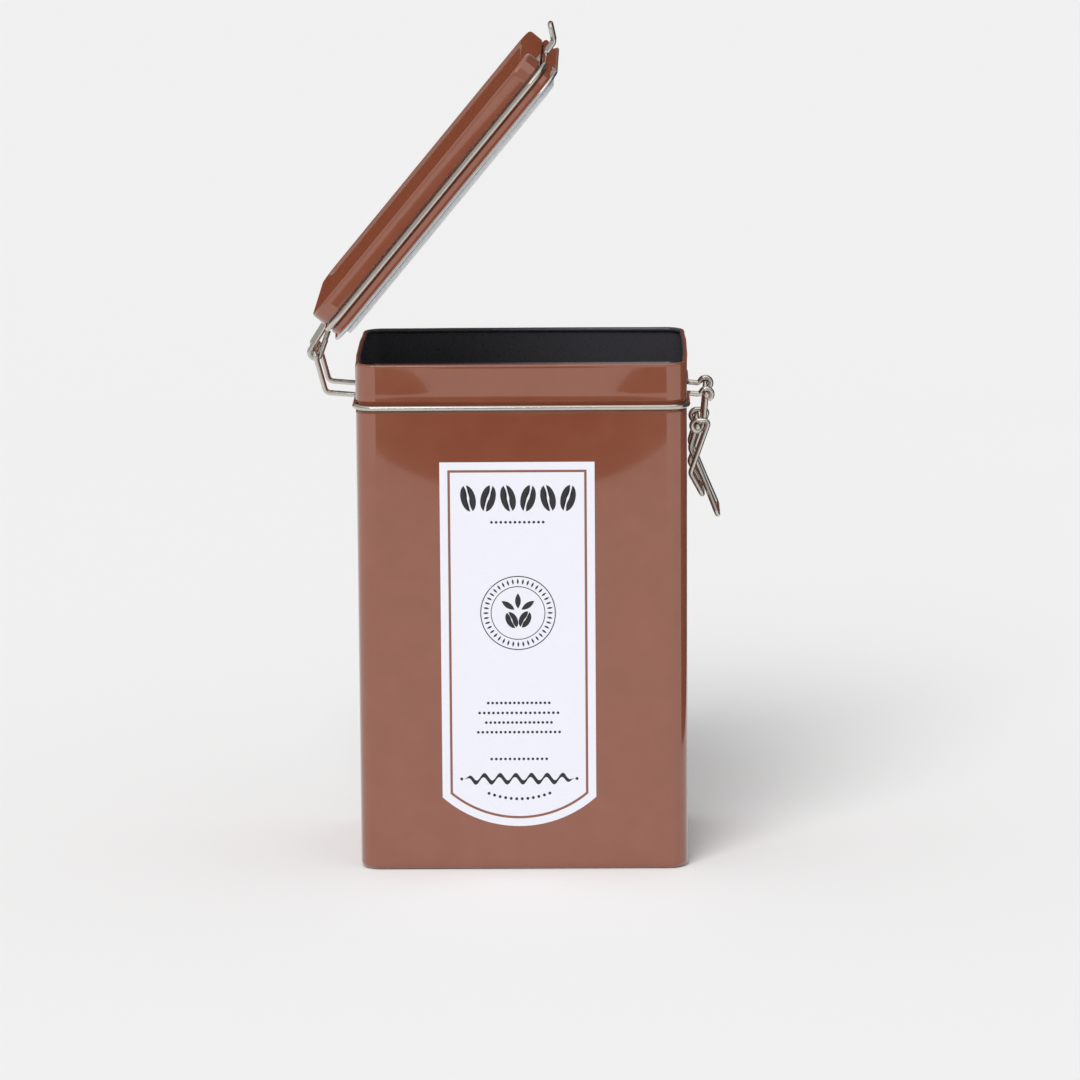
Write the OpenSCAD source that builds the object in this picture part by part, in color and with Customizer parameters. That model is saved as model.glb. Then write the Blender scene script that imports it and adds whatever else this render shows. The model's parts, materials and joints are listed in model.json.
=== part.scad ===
// Rectangular wire-clasp storage tin with a hinged lid.
// Frame: +X towards the clasp, hinge at -X, label at -Y, +Z up, origin at the centre of the base.
// The lid is drawn open; its own modules are written in the closed position and turned about the hinge.

/* [Body] */
// Width of the body, hinge side to clasp side
body_w = 110; // [100:1:120]
// Depth of the body, front to back
body_d = 78; // [70:1:84]
// Height of the rim above the base
rim_z = 172; // [165:1:190]
// Outer corner radius of the body, seen from above
corner_r = 6.5; // [5:0.5:9]
// Thickness of the tinplate
plate_t = 0.5; // [0.4:0.05:0.6]
// Radius of the rolled edge at the foot of the body
foot_r = 2; // [1.5:0.25:3]

/* [Neck] */
// Distance from the rim down to the middle of the ring groove
groove_drop = 14.4; // [13:0.2:16]
// Height of the ring groove
groove_h = 4.2; // [3.6:0.2:5]
// How far the neck flares out at the rim
neck_flare = 0.4; // [0:0.05:0.45]
// Radius of the rolled hem at the rim
hem_r = 0.8; // [0.6:0.05:0.9]

/* [Lid] */
// How far the lid stands open
lid_open = 50.3; // [0:0.1:180]
// How much wider than the body the lid skirt is on each side
lid_over = 1.4; // [1.3:0.05:1.6]
// Height of the lid, lip to top
lid_h = 12; // [11:0.5:14]
// How far the lip hangs below the rim when the lid is shut
lip_drop = 2; // [1.8:0.1:2.2]
// How far the bare lip stands out from the skirt
lip_out = 1.4; // [1.2:0.05:1.6]

/* [Wire] */
// Diameter of all the spring wire
wire_d = 1.8; // [1.6:0.1:2]
// Radial play of a wire eye on the wire that turns in it
eye_play = 0.08; // [0.03:0.01:0.1]

/* [Label] */
// Width of the paper label
label_w = 51.5; // [40:0.5:70]
// Height of the label's top edge above the base
label_top = 139.2; // [120:0.2:145]
// Height of the lower end of the label's straight sides
label_side = 25.1; // [20:0.1:40]
// How far the curved foot of the label drops below its sides
label_sag = 10; // [6:0.2:12]

/* [Hidden] */
$fn = 48;

// Wire and eyes
wire_r = wire_d / 2;
eye_r = wire_d + eye_play;
wire_sides = 14;
// A wire that turns in an eye is ground round there, just proud of the swept wire's flats and cut end
pin_r = wire_r + 0.005;
pin_proud = 0.02;
// How far a pin starts past the bend beside it, and how far it stands out of its eye
pin_start = 1.3;
pin_end = 1.4;

// Neck and groove
groove_z = rim_z - groove_drop;
groove_deep = 0.75;
ring_out = 0.25;
ring_z = groove_z - 0.15;
label_x = -1.5;

// Lid levels in the closed position
lip_z = rim_z - lip_drop;
lid_top = lip_z + lid_h;
lid_w = body_w + 2 * lid_over;
lid_d = body_d + 2 * lid_over;
lid_r = corner_r + lid_over;
lid_groove_up = 5.1;
lid_groove_z = lip_z + lid_groove_up;
lid_groove_h = 3.4;
lip_r = 0.6;
// How far in from the skirt the swept edge of a lid pressing meets its flat middle, and their lap
panel_edge = 6.6;
panel_lap = 0.1;

// Pivots, as [x, z]
hinge_out = 14.3;
hinge_drop = 0.5;
eye_out = 6.8;
eye_drop = 15;
coil_in = 3;
coil_drop = 10.9;
hinge = [-body_w / 2 - hinge_out, rim_z - hinge_drop];
eye = [body_w / 2 + eye_out, rim_z - eye_drop];
coil = [eye[0] - coil_in, eye[1] - coil_drop];

// Half distances across the tin at which the wires run
hinge_half = 11.8;
curl_gap = 0.4;
curl_half = hinge_half - wire_d - curl_gap;
eye_half = 11.3;
wire_gap = 0.3;
coil_pitch = wire_d + 0.1;
lever_half = eye_half - wire_d - wire_gap;
handle_half = lever_half + coil_pitch;
link_half = lever_half - wire_d - wire_gap;
link_end_half = 11;
hook_half = 3.5;

// Coarsest step of a wire round a bend, in degrees
bend_step = 15;

function unit(v) = v / norm(v);
// Points of an arc in section, from angle a0 to a1
function arc(c, r, a0, a1, n) =
    [for (i = [0:n]) let (a = a0 + (a1 - a0) * i / n) c + r * [cos(a), sin(a)]];
// Radius of the circle with a given half chord and rise
function bow_r(half, rise) = (half * half + rise * rise) / (2 * rise);
// A pressed groove in a wall: an arc that dips by deep over the height h, seen in section
function groove(z, h, deep, inward) =
    let (r = bow_r(h / 2, deep), c = [r - deep, z], grown = r + inward, a = acos((c[0] + inward) / grown))
    arc(c, grown, 180 + a, 180 - a, 10);
// A wire path is a list of corners, each a point and the radius of its bend
function at(p, y, r) = [[p[0], y, p[1]], r];
// Corners that carry a wire round a circle about c from angle a0 to a1, in the plane at y
function turn(c, y, r, a0, a1, n) =
    let (step = (a1 - a0) / n)
    [for (i = [0:n - 1])
        let (a = a0 + (i + 0.5) * step)
        at(c + r / cos(step / 2) * [cos(a), sin(a)], y, r)];
function reversed(list) = [for (i = [len(list) - 1:-1:0]) list[i]];
function mirrored(list) = [for (c = list) [[c[0][0], -c[0][1], c[0][2]], c[1]]];

function bend_angle(p, i) = acos(min(1, unit(p[i][0] - p[i - 1][0]) * unit(p[i + 1][0] - p[i][0])));
// The places a wire passes along one bend, each a point and the direction of travel
function bend(p, i) =
    let (d = unit(p[i][0] - p[i - 1][0]), z = unit(cross(d, p[i + 1][0] - p[i][0])), side = cross(z, d),
         turned = bend_angle(p, i), r = p[i][1], c = p[i][0] - d * r * tan(turned / 2) + side * r,
         steps = ceil(turned / bend_step))
    [for (k = [0:steps])
        let (a = turned * k / steps)
        [c + r * (d * sin(a) - side * cos(a)), d * cos(a) + side * sin(a)]];
// All the places along a wire, leaving out any that fall on the one before
function stations(p) =
    let (last = len(p) - 1,
         all = concat([[p[0][0], unit(p[1][0] - p[0][0])]],
                      [for (i = [1:last - 1]) each bend(p, i)],
                      [[p[last][0], unit(p[last][0] - p[last - 1][0])]]))
    [for (i = [0:len(all) - 1]) if (i == 0 || norm(all[i][0] - all[i - 1][0]) > 0.02) all[i]];
// A normal for every station, carried along the wire without twisting
function normals(s, i, n) =
    i == len(s) ? [] : let (m = unit(n - (n * s[i][1]) * s[i][1])) concat([m], normals(s, i + 1, m));

// Round wire along a path
module wire(p, r = wire_r) {
    s = stations(p);
    n = normals(s, 0, [0.1, 0.2, 1]);
    k = wire_sides;
    points = [for (i = [0:len(s) - 1], j = [0:k - 1])
        let (a = 360 * j / k) s[i][0] + r * (n[i] * cos(a) + cross(s[i][1], n[i]) * sin(a))];
    walls = [for (i = [0:len(s) - 2], j = [0:k - 1])
        let (a = i * k + j, b = i * k + (j + 1) % k) each [[a, a + k, b + k], [a, b + k, b]]];
    ends = [[for (j = [0:k - 1]) j], [for (j = [k - 1:-1:0]) (len(s) - 1) * k + j]];
    polyhedron(points, concat(walls, ends));
}

// Round pin along Y about the axis at p
module pin(p, y0, y1) {
    translate([p[0], y1, p[1]]) rotate([90, 0, 0]) cylinder(r = pin_r, h = y1 - y0);
}

// The two outer ends of a wire that turn in eyes, on both sides of the tin
module end_pins(p, y0, y1) {
    pin(p, y0, y1);
    pin(p, -y1, -y0);
}

// Sweeps a section round a rounded rectangle; the section's x is measured outwards from the wall line
module around(w, d, r) {
    for (sx = [-1, 1], sy = [-1, 1])
        translate([sx * (w / 2 - r), sy * (d / 2 - r), 0])
            rotate(sx > 0 ? (sy > 0 ? 0 : 270) : (sy > 0 ? 90 : 180))
                rotate_extrude(angle = 90) translate([r, 0]) children();
    for (a = [0, 180]) {
        rotate(a) translate([w / 2, d / 2 - r, 0]) rotate([90, 0, 0])
            linear_extrude(d - 2 * r) children();
        rotate(a + 90) translate([d / 2, w / 2 - r, 0]) rotate([90, 0, 0])
            linear_extrude(w - 2 * r) children();
    }
}

module rounded_rect(w, d, r) {
    square([w - 2 * r, d], center = true);
    square([w, d - 2 * r], center = true);
    for (sx = [-1, 1], sy = [-1, 1])
        translate([sx * (w / 2 - r), sy * (d / 2 - r)]) circle(r = r);
}

// Turns the lid's pieces about the hinge wire, from closed to where the lid stands
module opened() {
    translate([hinge[0], 0, hinge[1]]) rotate([0, -lid_open, 0])
        translate([-hinge[0], 0, -hinge[1]]) children();
}

module body_shell() {
    hem = [neck_flare - hem_r, rim_z - hem_r];
    straight_z = groove_z + groove_h / 2 + 2;
    color("#834a37")
        around(body_w, body_d, corner_r)
            polygon(concat(
                [[-foot_r - 1, 0]],
                arc([-foot_r, foot_r], foot_r, -90, 0, 6),
                groove(groove_z, groove_h, groove_deep, 0),
                [[0, straight_z]],
                arc(hem, hem_r, 0, 290, 16),
                [[-plate_t, straight_z]],
                reversed(groove(groove_z, groove_h, groove_deep, plate_t)),
                arc([-foot_r, foot_r], foot_r - plate_t, 0, -90, 5),
                [[-foot_r - 1, plate_t]]));
}

// The bottom plate is held by its edge above the rolled foot and is dished down to the base level
module bottom_plate() {
    gap = 0.02;
    seat_w = body_w - 2 * (plate_t + gap);
    seat_d = body_d - 2 * (plate_t + gap);
    seat_r = corner_r - plate_t - gap;
    rim_w = 6;
    dish_w = seat_w - 2 * rim_w;
    dish_d = seat_d - 2 * rim_w;
    cut = 1;
    color("#b9bbbd") {
        difference() {
            translate([0, 0, foot_r]) linear_extrude(plate_t) rounded_rect(seat_w, seat_d, seat_r);
            translate([0, 0, foot_r - cut]) linear_extrude(plate_t + 2 * cut)
                rounded_rect(dish_w, dish_d, seat_r);
        }
        difference() {
            linear_extrude(foot_r + plate_t) rounded_rect(dish_w, dish_d, seat_r);
            translate([0, 0, plate_t]) linear_extrude(foot_r)
                rounded_rect(dish_w - 2 * plate_t, dish_d - 2 * plate_t, seat_r - plate_t);
        }
    }
}

module front_label() {
    foot = bow_r(label_w / 2, label_sag);
    thick = 0.15;
    color("#f3f4fc")
        translate([label_x, -body_d / 2, 0]) rotate([90, 0, 0]) linear_extrude(thick) {
            translate([-label_w / 2, label_side]) square([label_w, label_top - label_side]);
            intersection() {
                translate([0, label_side - label_sag + foot]) circle(r = foot, $fn = 160);
                translate([-label_w / 2, label_side - label_sag - 1]) square([label_w, label_sag + 2]);
            }
        }
}

// Half of the body's wire ring, from the middle of the hinge bar round the front to the clasp eye
function body_ring_half() =
    let (x = body_w / 2 + ring_out, y = body_d / 2 + ring_out, r = corner_r + ring_out,
         post_lean = 3.5, post_up = 0.9, post_foot = [hinge[0] + post_lean, ring_z + post_up],
         lead = 150, tail = -60, lead_run = 1.09, entry = eye + eye_r * [cos(lead), sin(lead)])
    concat(
        [[[hinge[0], -hinge_half, hinge[1]], 1.2],
         [[post_foot[0], -hinge_half, post_foot[1]], 2],
         [[-x, -hinge_half, ring_z], 1.6],
         [[-x, -y, ring_z], r],
         [[x, -y, ring_z], r],
         [[x, -eye_half, ring_z], 1.4],
         at(entry - lead_run * [sin(lead), -cos(lead)], -eye_half, 1.2)],
        turn(eye, -eye_half, eye_r, lead, tail, 3),
        [at(eye + eye_r * [cos(tail), sin(tail)], -eye_half, 0)]);

module body_ring() {
    half = body_ring_half();
    color("#cfcecd") {
        wire(concat(reversed(half), mirrored(half)));
        pin(hinge, -hinge_half + pin_end, hinge_half - pin_end);
    }
}

// Flat middle of a lid pressing, which laps the swept edge so that the two join
module lid_panel(z, thick) {
    inset = panel_edge - panel_lap;
    translate([0, 0, z]) linear_extrude(thick)
        rounded_rect(lid_w - 2 * inset, lid_d - 2 * inset, lid_r - inset);
}

module lid_shell() {
    skirt = lip_out - lip_r;
    lip_c = [skirt, lip_z + lip_r];
    edge_r = 1.2;
    step_z = 0.6;
    step_top = 4;
    step_foot = 4.6;
    lip_top = lip_z + 1.9;
    lip_bend = lip_z + 2.4;
    color("#834a37") opened() {
        around(lid_w, lid_d, lid_r)
            polygon(concat(
                [[-panel_edge, lid_top - step_z], [-step_foot, lid_top - step_z], [-step_top, lid_top]],
                arc([-edge_r, lid_top - edge_r], edge_r, 90, 0, 5),
                reversed(groove(lid_groove_z, lid_groove_h, groove_deep, 0)),
                [[0, lip_top]],
                arc(lip_c, lip_r, 60, -180, 12),
                [[-plate_t, lip_bend]],
                groove(lid_groove_z, lid_groove_h, groove_deep, plate_t),
                arc([-edge_r, lid_top - edge_r], edge_r - plate_t, 0, 90, 4),
                [[-step_top, lid_top - plate_t],
                 [-step_foot, lid_top - step_z - plate_t],
                 [-panel_edge, lid_top - step_z - plate_t]]));
        lid_panel(lid_top - step_z - plate_t, plate_t);
    }
}

// Inner plate of the lid: a shallow tray that enters the mouth, held by its flange inside the skirt
module lid_liner() {
    wall = -3.5;
    flange = -1.35;
    t = 0.4;
    floor_z = lip_z - 1;
    flange_z = lip_z + 3;
    bend = 0.8;
    color("#c4c6c8") opened() {
        around(lid_w, lid_d, lid_r)
            polygon(concat(
                [[flange, flange_z], [wall, flange_z]],
                arc([wall - bend, floor_z + bend], bend, 0, -90, 4),
                [[-panel_edge, floor_z], [-panel_edge, floor_z + t]],
                arc([wall - bend, floor_z + bend], bend - t, -90, 0, 3),
                [[wall - t, flange_z + t], [flange, flange_z + t]]));
        lid_panel(floor_z, t);
    }
}

// Silicone seal: a flat ring that meets the rim, with a lip that hugs the tray and hangs below it
module lid_gasket() {
    inner = -3.48;
    outer = -1.6;
    lip = -2.95;
    top_z = lip_z + 2.98;
    flat_z = rim_z + 0.35;
    end_z = lip_z - 1.8;
    tip_w = 0.25;
    tip_h = 0.5;
    color("#e9eaf2") opened()
        around(lid_w, lid_d, lid_r)
            polygon([[outer, flat_z], [outer, top_z], [inner, top_z], [inner, end_z], [inner + tip_w, end_z],
                     [lip, end_z + tip_h], [lip, flat_z]]);
}

// Half of the lid's wire ring, from the middle of the hook round the front to the end of the curl
function lid_ring_half() =
    let (x = lid_w / 2 + ring_out, y = lid_d / 2 + ring_out, r = lid_r + ring_out, sit = 0.1,
         z = lid_groove_z - sit, arm = [-x, z] - hinge,
         lead = atan2(arm[1], arm[0]) + acos(eye_r / norm(arm)), tail = 290, tail_run = 5.5,
         hook_tip = [8.7, 4.9], hook_bend = [5.2, 0.5])
    concat(
        [[[x + hook_tip[0], -hook_half, z + hook_tip[1]], 1.2],
         [[x + hook_bend[0], -hook_half, z + hook_bend[1]], 1.6],
         [[x, -hook_half, z], 1.4],
         [[x, -y, z], r],
         [[-x, -y, z], r],
         [[-x, -curl_half, z], 1.4]],
        turn(hinge, -curl_half, eye_r, lead, tail, 3),
        [at(hinge + eye_r * [cos(tail), sin(tail)] + tail_run * [-sin(tail), cos(tail)], -curl_half, 0)]);

module lid_ring() {
    half = lid_ring_half();
    color("#cfcecd") opened() wire(concat(reversed(half), mirrored(half)));
}

// Half of the lever, from the middle of the handle up through the coil to its pivot end. The lever's and
// the link's corners are measured from the middle of the coil, and each has the radius of its bend.
function lever_half_path() =
    let (turns = 4, start = 90, sweep = 270, step = sweep / turns)
    concat(
        [at(coil + [1.6, -23.4], -handle_half, 1.5),
         at(coil + [-2.4, -16], -handle_half, 2),
         at(coil + [4, eye_r], -handle_half, 1.3)],
        [for (i = [0:turns - 1])
            let (a = start + (i + 0.5) * step,
                 y = handle_half + (lever_half - handle_half) * (i + 0.5) / turns)
            at(coil + eye_r / cos(step / 2) * [cos(a), sin(a)], -y, eye_r)],
        [at(eye, -lever_half, 1.2),
         at(eye, -eye_half - wire_r - pin_end, 0)]);

module clasp_lever() {
    half = lever_half_path();
    color("#cfcecd") {
        wire(concat(reversed(half), mirrored(half)));
        end_pins(eye, lever_half + pin_start, eye_half + wire_r + pin_end + pin_proud);
    }
}

// Half of the bail link, from the middle of its catch bar up to its pivot end in the lever's coil
function link_half_path() = [
    at(coil + [6.8, -30.5], -link_end_half, 1.5),
    at(coil + [2.5, -19.8], -link_half, 3),
    at(coil + [-0.1, -13.3], -link_half, 3),
    at(coil + [-2.4, -8.2], -link_half, 3),
    at(coil, -link_half, 1.2),
    at(coil, -handle_half - wire_r - pin_end, 0)];

module clasp_link() {
    half = link_half_path();
    color("#cfcecd") {
        wire(concat(reversed(half), mirrored(half)));
        end_pins(coil, link_half + pin_start, handle_half + wire_r + pin_end + pin_proud);
    }
}

body_shell();
bottom_plate();
front_label();
body_ring();
lid_shell();
lid_liner();
lid_gasket();
lid_ring();
clasp_lever();
clasp_link();
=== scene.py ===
# %% [markdown]
# A storage tin with a hinged lid and a wire clasp, shown standing open on a pale table. The shapes that
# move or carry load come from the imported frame. This script makes the pieces that are seen: pressed and
# lacquered tinplate, bent nickel wire, a silicone seal and a printed paper label. It works in millimetres
# and turns them to metres as each piece is finished, because a maker's drawing is in millimetres too.

# %% Load the frame
import json
import math

import bmesh
import bpy
from mathutils import Matrix, Vector


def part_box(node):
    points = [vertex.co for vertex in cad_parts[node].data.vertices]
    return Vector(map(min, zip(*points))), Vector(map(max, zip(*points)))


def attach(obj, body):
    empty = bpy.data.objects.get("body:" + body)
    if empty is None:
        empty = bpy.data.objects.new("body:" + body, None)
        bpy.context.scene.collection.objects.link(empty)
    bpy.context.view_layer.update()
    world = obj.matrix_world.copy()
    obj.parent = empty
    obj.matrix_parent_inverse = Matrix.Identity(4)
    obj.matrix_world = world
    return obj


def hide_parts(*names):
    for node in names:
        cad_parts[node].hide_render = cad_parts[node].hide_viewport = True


MM = 0.001
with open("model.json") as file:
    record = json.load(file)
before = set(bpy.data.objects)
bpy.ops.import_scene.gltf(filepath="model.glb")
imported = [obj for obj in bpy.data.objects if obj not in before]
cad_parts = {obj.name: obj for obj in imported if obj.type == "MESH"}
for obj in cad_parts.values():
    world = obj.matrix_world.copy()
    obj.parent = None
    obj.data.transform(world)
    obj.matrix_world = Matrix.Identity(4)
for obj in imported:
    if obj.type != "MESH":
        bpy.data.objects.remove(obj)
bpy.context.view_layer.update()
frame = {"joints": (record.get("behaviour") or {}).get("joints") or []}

# %% [markdown]
# The camera stands about two metres off with a long lens, so the tin's upright edges stay nearly parallel.
# It looks a little down into the mouth. Its place is worked out from the point it looks at, the two
# angles and the distance, so that each can be changed on its own.

# %% Camera
LOOK_AT = Vector((5.5, 0, 105.2)) * MM
DISTANCE = 2046 * MM
AZIMUTH = math.radians(0.725)
ELEVATION = math.radians(11.05)
ROLL = math.radians(-0.415)

back = Vector((math.sin(AZIMUTH) * math.cos(ELEVATION), -math.cos(AZIMUTH) * math.cos(ELEVATION),
               math.sin(ELEVATION)))
lens_data = bpy.data.cameras.new("Camera")
lens_data.lens = 201.15
lens_data.sensor_width = 36
lens_data.clip_end = 50
camera = bpy.data.objects.new("Camera", lens_data)
camera.location = LOOK_AT + back * DISTANCE
camera.rotation_mode = "QUATERNION"
camera.rotation_quaternion = (-back).to_track_quat("-Z", "Y") @ Matrix.Rotation(ROLL, 3, "Z").to_quaternion()
bpy.context.scene.collection.objects.link(camera)
bpy.context.scene.camera = camera
print("camera at", [round(c, 3) for c in camera.location])

# %% [markdown]
# A material is a small tree of nodes. The two helpers here are all that the script needs: one turns a
# paint-chart colour into the linear numbers that the shader wants, and one adds a node with its settings
# and whatever feeds its sockets.

# %% Colour and node helpers
def linear(code):
    """An sRGB hex colour as the linear red, green, blue and alpha that a shader socket takes."""
    parts = [int(code[i:i + 2], 16) / 255 for i in (1, 3, 5)]
    return [c / 12.92 if c <= 0.04045 else ((c + 0.055) / 1.055) ** 2.4 for c in parts] + [1]


def add_node(tree, kind, feeds=None, **settings):
    """Adds a shader node; feeds gives each socket a value or the output that drives it."""
    node = tree.nodes.new("ShaderNode" + kind)
    for name, value in settings.items():
        setattr(node, name, value)
    for socket, value in (feeds or {}).items():
        if isinstance(value, bpy.types.NodeSocket):
            tree.links.new(value, node.inputs[socket])
        else:
            node.inputs[socket].default_value = value
    return node


def new_finish(name, **constants):
    """A material with one Principled shader, and that shader's constant sockets set."""
    material = bpy.data.materials.new(name)
    material.use_nodes = True
    tree = material.node_tree
    tree.nodes.clear()
    shader = add_node(tree, "BsdfPrincipled", {key.replace("_", " "): v for key, v in constants.items()})
    add_node(tree, "OutputMaterial", {"Surface": shader.outputs["BSDF"]})
    print("finish:", name)
    return material, tree, shader


def per_mm(size):
    """Noise scale whose features are about that many millimetres across, in Object coordinates."""
    return 1 / (size * MM)


# %% [markdown]
# The outside is gloss-lacquered tinplate: flat tin-coated steel, roller-coated with brown enamel and a
# clear varnish, then stoved. That gives a hard, nearly mirror-like coat over an even colour. The coat is
# never quite flat: it has a faint orange peel about a millimetre across, and the thin sheet under it is
# slightly wavy over some centimetres, which makes the edges of reflections wander.

# %% Gloss lacquer on tinplate
ORANGE_PEEL = 1.4
SHEET_WAVE = 34
gloss_lacquer, tree, shader = new_finish("Gloss lacquered tinplate", Roughness=0.12, IOR=1.6,
                                         Coat_Weight=1.0, Coat_Roughness=0.03, Coat_IOR=1.55,
                                         Specular_Tint=(1, 0.84, 0.68, 1))
place = add_node(tree, "TexCoord").outputs["Object"]
mottle = add_node(tree, "TexNoise", {"Vector": place, "Scale": per_mm(9), "Detail": 4})
ramp = add_node(tree, "ValToRGB", {"Fac": mottle.outputs["Fac"]})
ramp.color_ramp.elements[0].position = 0.3
ramp.color_ramp.elements[0].color = linear("#824632")
ramp.color_ramp.elements[1].position = 0.7
ramp.color_ramp.elements[1].color = linear("#874B36")
wave = add_node(tree, "TexNoise", {"Vector": place, "Scale": per_mm(SHEET_WAVE), "Detail": 1})
wavy = add_node(tree, "Bump", {"Height": wave.outputs["Fac"], "Strength": 0.22, "Distance": 0.05 * MM})
peel = add_node(tree, "TexNoise", {"Vector": place, "Scale": per_mm(ORANGE_PEEL), "Detail": 2})
coat = add_node(tree, "Bump", {"Height": peel.outputs["Fac"], "Strength": 0.12, "Distance": 0.004 * MM,
                               "Normal": wavy.outputs["Normal"]})
tree.links.new(ramp.outputs["Color"], shader.inputs["Base Color"])
tree.links.new(coat.outputs["Normal"], shader.inputs["Normal"])
tree.links.new(coat.outputs["Normal"], shader.inputs["Coat Normal"])

# %% [markdown]
# The inside is coated with a food-safe black varnish. It is thinner than the outer coat and a little less
# glossy, so it gives the eye soft grey reflections on near-black, with fine specks where the metal's
# texture prints through.

# %% Black varnish inside
black_varnish, tree, shader = new_finish("Black stoved varnish", IOR=1.5, Base_Color=linear("#454348"))
place = add_node(tree, "TexCoord").outputs["Object"]
grain = add_node(tree, "TexNoise", {"Vector": place, "Scale": per_mm(0.8), "Detail": 3})
gloss = add_node(tree, "MapRange", {"Value": grain.outputs["Fac"], "To Min": 0.22, "To Max": 0.36})
relief = add_node(tree, "Bump", {"Height": grain.outputs["Fac"], "Strength": 0.1, "Distance": 0.01 * MM})
tree.links.new(gloss.outputs["Result"], shader.inputs["Roughness"])
tree.links.new(relief.outputs["Normal"], shader.inputs["Normal"])

# %% [markdown]
# Bare tinplate shows on the lid's lip, the tray inside the lid and the underside of the base. The steel is
# cold-rolled before it is tinned, so it keeps fine parallel lines along the rolling direction. Real lines
# are some hundredths of a millimetre apart; they are drawn ten times coarser so that they show.

# %% Bare rolled tinplate
ROLLING_LINE = 0.5
bare_tinplate, tree, shader = new_finish("Rolled tinplate", Metallic=1.0)
place = add_node(tree, "TexCoord").outputs["Object"]
stretched = add_node(tree, "Mapping", {"Vector": place, "Scale": (0.02, 1, 0.5)})
lines = add_node(tree, "TexNoise", {"Vector": stretched.outputs["Vector"], "Scale": per_mm(ROLLING_LINE),
                                    "Detail": 3})
cloud = add_node(tree, "TexNoise", {"Vector": place, "Scale": per_mm(14), "Detail": 2})
tone = add_node(tree, "ValToRGB", {"Fac": cloud.outputs["Fac"]})
tone.color_ramp.elements[0].color = linear("#BFC1C4")
tone.color_ramp.elements[1].color = linear("#D6D8DA")
dull = add_node(tree, "MapRange", {"Value": lines.outputs["Fac"], "To Min": 0.2, "To Max": 0.28})
relief = add_node(tree, "Bump", {"Height": lines.outputs["Fac"], "Strength": 0.05, "Distance": 0.01 * MM})
tree.links.new(tone.outputs["Color"], shader.inputs["Base Color"])
tree.links.new(dull.outputs["Result"], shader.inputs["Roughness"])
tree.links.new(relief.outputs["Normal"], shader.inputs["Normal"])

# %% [markdown]
# The rings, lever and bail are hard-drawn steel wire, nickel plated. Plating is bright and slightly warm,
# and follows the faint die marks on the wire, so highlights are sharp but broken a little along the wire.

# %% Nickel-plated wire
DIE_MARK = 0.7
nickel, tree, shader = new_finish("Nickel plated spring wire", Metallic=1.0)
place = add_node(tree, "TexCoord").outputs["Object"]
marks = add_node(tree, "TexNoise", {"Vector": place, "Scale": per_mm(DIE_MARK), "Detail": 4})
tone = add_node(tree, "ValToRGB", {"Fac": marks.outputs["Fac"]})
tone.color_ramp.elements[0].color = linear("#C2BEB6")
tone.color_ramp.elements[1].color = linear("#D4D0C9")
dull = add_node(tree, "MapRange", {"Value": marks.outputs["Fac"], "To Min": 0.08, "To Max": 0.16})
relief = add_node(tree, "Bump", {"Height": marks.outputs["Fac"], "Strength": 0.03, "Distance": 0.02 * MM})
tree.links.new(tone.outputs["Color"], shader.inputs["Base Color"])
tree.links.new(dull.outputs["Result"], shader.inputs["Roughness"])
tree.links.new(relief.outputs["Normal"], shader.inputs["Normal"])

# %% [markdown]
# The seal is translucent silicone, moulded as one ring. Light goes a millimetre or so into it and comes
# out again, which takes the hardness off its edges; the skin is satin and picks up a little dust.

# %% Silicone
silicone, tree, shader = new_finish("Translucent silicone", IOR=1.41, Subsurface_Weight=0.6,
                                    Subsurface_Radius=(1.2 * MM, 1.1 * MM, 1.3 * MM), Subsurface_Scale=1.0)
place = add_node(tree, "TexCoord").outputs["Object"]
dust = add_node(tree, "TexNoise", {"Vector": place, "Scale": per_mm(2.5), "Detail": 3})
tone = add_node(tree, "ValToRGB", {"Fac": dust.outputs["Fac"]})
tone.color_ramp.elements[0].color = linear("#F1F1F8")
tone.color_ramp.elements[1].color = linear("#F8F8FD")
satin = add_node(tree, "MapRange", {"Value": dust.outputs["Fac"], "To Min": 0.32, "To Max": 0.5})
tree.links.new(tone.outputs["Color"], shader.inputs["Base Color"])
tree.links.new(satin.outputs["Result"], shader.inputs["Roughness"])

# %% [markdown]
# The label is white coated paper. Calendering leaves it smooth, with a soft sheen and a fibre texture that
# is barely there. Offset ink lies on it as a film a few thousandths of a millimetre thick, slightly
# uneven in tone where the paper took less of it.

# %% Coated paper and ink
def printed(name, light, dark, roughness):
    """A paper or ink finish: two close tones in a fibre-sized mottle, with the same mottle in the relief."""
    material, tree, shader = new_finish(name, Roughness=roughness, IOR=1.5)
    place = add_node(tree, "TexCoord").outputs["Object"]
    fibre = add_node(tree, "TexNoise", {"Vector": place, "Scale": per_mm(0.6), "Detail": 5})
    tone = add_node(tree, "ValToRGB", {"Fac": fibre.outputs["Fac"]})
    tone.color_ramp.elements[0].color = linear(dark)
    tone.color_ramp.elements[1].color = linear(light)
    relief = add_node(tree, "Bump", {"Height": fibre.outputs["Fac"], "Strength": 0.15,
                                     "Distance": 0.02 * MM})
    tree.links.new(tone.outputs["Color"], shader.inputs["Base Color"])
    tree.links.new(relief.outputs["Normal"], shader.inputs["Normal"])
    return material


coated_paper = printed("Coated label paper", "#EDEDF6", "#E6E7F1", 0.5)
dark_ink = printed("Black offset ink", "#2A272C", "#1A181D", 0.42)
brown_ink = printed("Brown offset ink", "#91604F", "#845443", 0.45)

# %% [markdown]
# Every pressed piece of the tin has the same plan: a rectangle with round corners. So a piece starts as an
# outline drawn in section, with u measured outwards from the wall and z upwards. The outline is pushed
# along half of one wall, spun round the corner, pushed along half of the next wall, and mirrored twice.
# A loft would do it too, but spinning gives exact arcs at the corners. A narrow strip of flat wall beside
# each corner keeps the smooth shading of the bend from creeping over the flat.

# %% Sweep helpers
FLAT_EDGE = 0.3
FACING_IN = -0.1


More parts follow.
